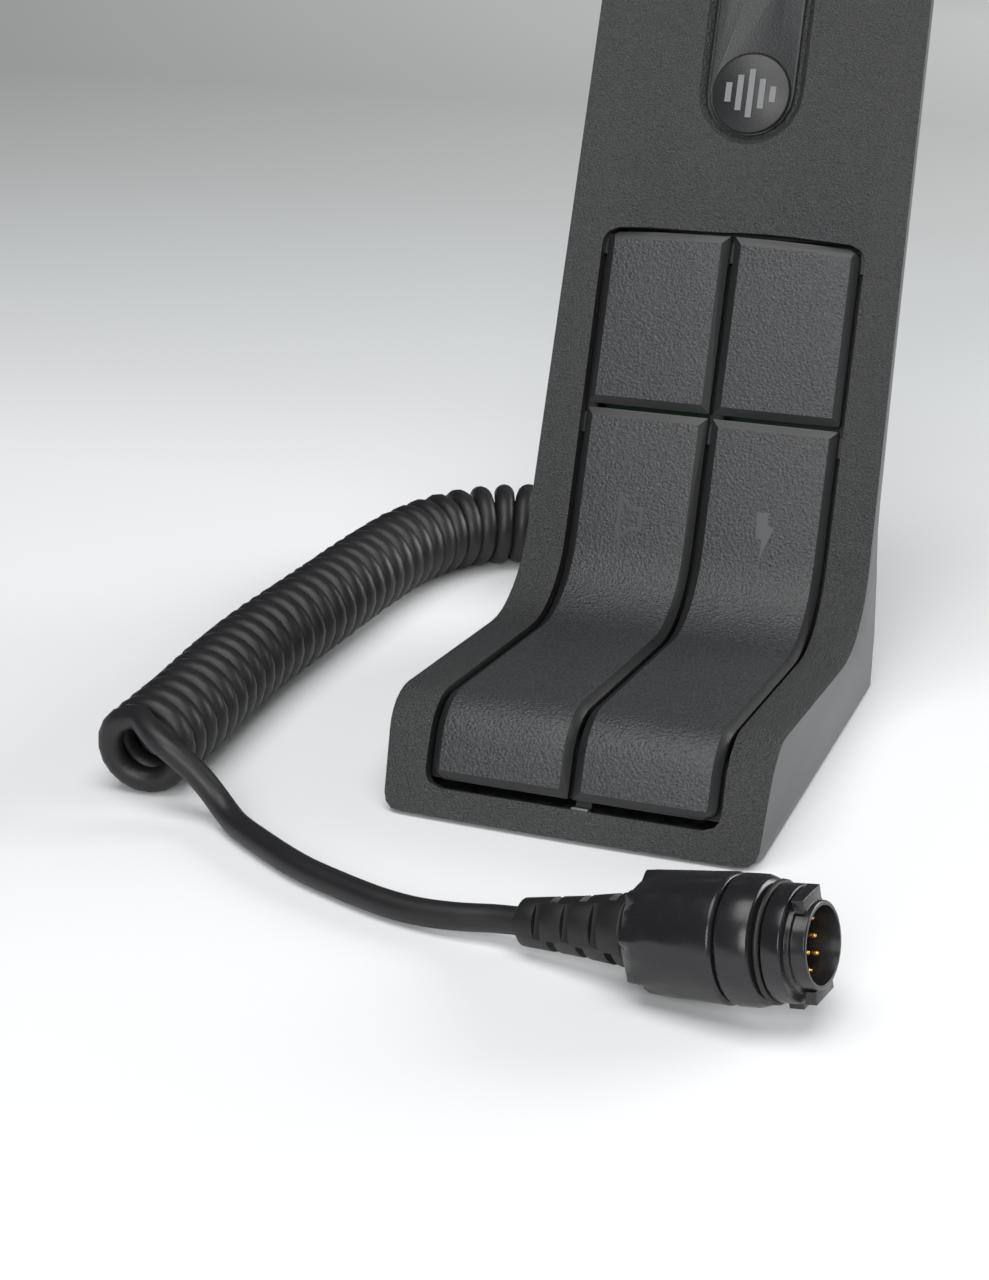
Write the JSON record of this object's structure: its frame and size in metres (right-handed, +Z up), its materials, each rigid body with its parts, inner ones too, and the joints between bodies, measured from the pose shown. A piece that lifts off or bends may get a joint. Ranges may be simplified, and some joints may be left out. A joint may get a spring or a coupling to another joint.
{
  "type": "desk-stand microphone",
  "caption": "Desk-stand microphone on a weighted foot, with press keys on its curved front, a coiled cord and a round multi-pin plug.",
  "frame": {"origin": "centre of the stand's footprint, on the desk", "axes": "+Z up, +X to the object's own left-to-right as seen from the front, -Y towards the user, so that the keys face -Y"},
  "size_m": [0.1625, 0.2241, 0.196],
  "materials": {
    "housing": "finely textured charcoal ABS, satin side walls",
    "key": "grained charcoal ABS with smooth edges",
    "frame": "plain black",
    "rubber": "matt black",
    "cord": "satin black PVC jacket",
    "gloss": "glossy black",
    "steel": "zinc plated",
    "board": "green glass-fibre laminate",
    "gold": "gold plated",
    "foam": "open-cell acoustic foam"
  },
  "bodies": {
    "housing": {"front_housing": "housing", "rear_housing": "housing", "badge": "gloss", "ballast_weight": "steel", "base_plate": "steel", "base_screw_1": "steel", "base_screw_2": "steel", "base_screw_3": "steel", "base_screw_4": "steel", "capsule_lead": "cord", "circuit_board": "board", "contact_pin_01": "gold", "contact_pin_02": "gold", "contact_pin_03": "gold", "contact_pin_04": "gold", "contact_pin_05": "gold", "contact_pin_06": "gold", "contact_pin_07": "gold", "contact_pin_08": "gold", "contact_pin_09": "gold", "contact_pin_10": "gold", "cord_coil": "cord", "cord_header": "frame", "cord_tail_front": "cord", "cord_tail_rear": "cord", "foot_pad_1": "rubber", "foot_pad_2": "rubber", "foot_pad_3": "rubber", "foot_pad_4": "rubber", "inlay": "gloss", "inner_lead": "cord", "key_carrier": "frame", "lower_hinge_pin": "steel", "lower_switch_left": "gloss", "lower_switch_right": "gloss", "mic_boot": "rubber", "mic_capsule": "steel", "mic_foam": "foam", "pin_insert": "gloss", "plug_body": "gloss", "plug_boot": "rubber", "plug_grip": "gloss", "plug_seal": "rubber", "rear_screw_1": "steel", "rear_screw_2": "steel", "rear_screw_3": "steel", "rear_screw_4": "steel", "strain_relief": "rubber", "upper_hinge_pin": "steel", "upper_switch_left": "gloss", "upper_switch_right": "gloss"},
    "lower_key_left": {"lower_key_left": "key"},
    "lower_key_right": {"lower_key_right": "key"},
    "upper_key_left": {"upper_key_left": "key"},
    "upper_key_right": {"upper_key_right": "key"},
    "lower_plunger_left": {"lower_plunger_left": "rubber"},
    "lower_plunger_right": {"lower_plunger_right": "rubber"},
    "upper_plunger_left": {"upper_plunger_left": "rubber"},
    "upper_plunger_right": {"upper_plunger_right": "rubber"}
  },
  "joints": [
    {"name": "lower_key_left_press", "type": "hinge", "parent": "housing", "child": "lower_key_left", "pos_m": [0, 0.01797, 0.05407], "axis": [1, 0, 0], "range_deg": [0, 0.8], "stiffness_Nm_per_rad": 1.5, "springref_deg": -1.15},
    {"name": "upper_key_left_press", "type": "hinge", "parent": "housing", "child": "upper_key_left", "pos_m": [0, 0.03141, 0.09121], "axis": [1, 0, 0], "range_deg": [0, 1.5], "stiffness_Nm_per_rad": 1, "springref_deg": -1.15},
    {"name": "lower_key_right_press", "type": "hinge", "parent": "housing", "child": "lower_key_right", "pos_m": [0, 0.01797, 0.05407], "axis": [1, 0, 0], "range_deg": [0, 0.8], "stiffness_Nm_per_rad": 1.5, "springref_deg": -1.15},
    {"name": "upper_key_right_press", "type": "hinge", "parent": "housing", "child": "upper_key_right", "pos_m": [0, 0.03141, 0.09121], "axis": [1, 0, 0], "range_deg": [0, 1.5], "stiffness_Nm_per_rad": 1, "springref_deg": -1.15},
    {"name": "lower_plunger_left_slide", "type": "slide", "parent": "housing", "child": "lower_plunger_left", "axis": [0, 0.9403, -0.3404], "range_m": [0, 0.0005]},
    {"name": "upper_plunger_left_slide", "type": "slide", "parent": "housing", "child": "upper_plunger_left", "axis": [0, 0.9403, -0.3404], "range_m": [0, 0.0005]},
    {"name": "lower_plunger_right_slide", "type": "slide", "parent": "housing", "child": "lower_plunger_right", "axis": [0, 0.9403, -0.3404], "range_m": [0, 0.0005]},
    {"name": "upper_plunger_right_slide", "type": "slide", "parent": "housing", "child": "upper_plunger_right", "axis": [0, 0.9403, -0.3404], "range_m": [0, 0.0005]}
  ],
  "couplings": [
    {"joint": "lower_plunger_left_slide", "follows": "lower_key_left_press", "m_per_rad": 0.02},
    {"joint": "upper_plunger_left_slide", "follows": "upper_key_left_press", "m_per_rad": 0.015},
    {"joint": "lower_plunger_right_slide", "follows": "lower_key_right_press", "m_per_rad": 0.02},
    {"joint": "upper_plunger_right_slide", "follows": "upper_key_right_press", "m_per_rad": 0.015}
  ]
}
